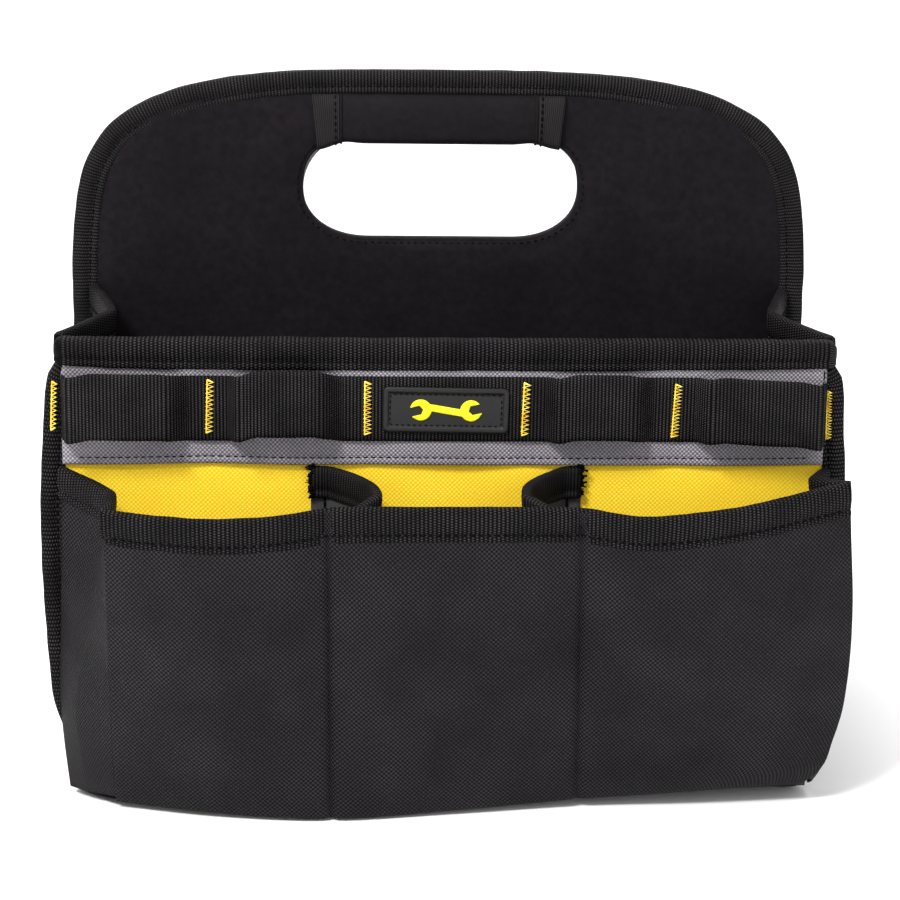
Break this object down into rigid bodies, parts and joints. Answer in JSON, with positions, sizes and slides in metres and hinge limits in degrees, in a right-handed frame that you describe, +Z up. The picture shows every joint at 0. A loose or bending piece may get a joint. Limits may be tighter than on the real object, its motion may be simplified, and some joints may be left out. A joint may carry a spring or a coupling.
{
  "type": "open tool tote",
  "caption": "Open cloth tool tote with a padded hand slot in its stiff centre board, a compartment on each side, and pleated pockets below tool loops on the outer walls.",
  "frame": {"origin": "on the floor, under the middle of the base", "axes": "+Z up, +X to the right as the labelled front wall is seen, -Y out of the front wall"},
  "size_m": [0.309, 0.2448, 0.276],
  "materials": {
    "board": "stiff polyethylene board, matt",
    "foam": "soft closed-cell foam",
    "sleeve_cloth": "smooth padded knit",
    "board_cloth": "fine twill, matt",
    "label_rubber": "moulded rubber, satin",
    "emblem_print": "raised yellow rubber",
    "thread": "yellow sewing thread",
    "webbing": "ribbed webbing",
    "grey_cloth": "coated basket weave",
    "yellow_cloth": "coated basket weave",
    "lining_cloth": "coated lining cloth",
    "binding_tape": "ribbed binding tape",
    "black_cloth": "heavy woven cloth"
  },
  "bodies": {
    "centre": {"board_core": "board", "board_cover_front": "board_cloth", "board_cover_rear": "board_cloth", "board_edge_binding": "binding_tape", "slot_hem": "binding_tape", "grip_pad": "foam", "grip_sleeve": "sleeve_cloth", "grip_end_tape_left": "binding_tape", "grip_end_tape_right": "binding_tape", "base_cloth": "black_cloth", "base_board": "board", "base_lining": "lining_cloth", "gusset_front_left": "black_cloth", "gusset_front_right": "black_cloth", "gusset_rear_left": "black_cloth", "gusset_rear_right": "black_cloth", "gusset_tape_front_left": "binding_tape", "gusset_tape_front_right": "binding_tape", "gusset_tape_rear_left": "binding_tape", "gusset_tape_rear_right": "binding_tape"},
    "front_wall": {"front_lining": "lining_cloth", "front_stiffener": "board", "front_panel": "yellow_cloth", "front_band": "grey_cloth", "front_rim_binding": "binding_tape", "front_seam_binding": "binding_tape", "front_webbing": "webbing", "front_bar_tacks": "thread", "front_pocket_panel": "black_cloth", "front_pocket_base": "black_cloth", "front_pocket_end_left": "black_cloth", "front_pocket_end_right": "black_cloth", "front_pocket_divider_left": "black_cloth", "front_pocket_divider_right": "black_cloth", "front_pocket_binding": "binding_tape", "front_pocket_gusset_tapes": "binding_tape", "front_label": "label_rubber", "front_emblem": "emblem_print"},
    "rear_wall": {"rear_lining": "lining_cloth", "rear_stiffener": "board", "rear_panel": "yellow_cloth", "rear_band": "grey_cloth", "rear_rim_binding": "binding_tape", "rear_seam_binding": "binding_tape", "rear_webbing": "webbing", "rear_bar_tacks": "thread", "rear_pocket_panel": "black_cloth", "rear_pocket_base": "black_cloth", "rear_pocket_end_left": "black_cloth", "rear_pocket_end_right": "black_cloth", "rear_pocket_divider_left": "black_cloth", "rear_pocket_divider_right": "black_cloth", "rear_pocket_binding": "binding_tape", "rear_pocket_gusset_tapes": "binding_tape"}
  },
  "joints": [
    {"name": "front_wall_fold", "type": "hinge", "parent": "centre", "child": "front_wall", "pos_m": [0, -0.0705, 0.002], "axis": [-1, 0, 0], "range_deg": [-2, 20], "deforming": ["gusset_front_left", "gusset_front_right", "gusset_tape_front_left", "gusset_tape_front_right"]},
    {"name": "rear_wall_fold", "type": "hinge", "parent": "centre", "child": "rear_wall", "pos_m": [0, 0.0705, 0.002], "axis": [1, 0, 0], "range_deg": [-2, 20], "deforming": ["gusset_rear_left", "gusset_rear_right", "gusset_tape_rear_left", "gusset_tape_rear_right"]}
  ]
}
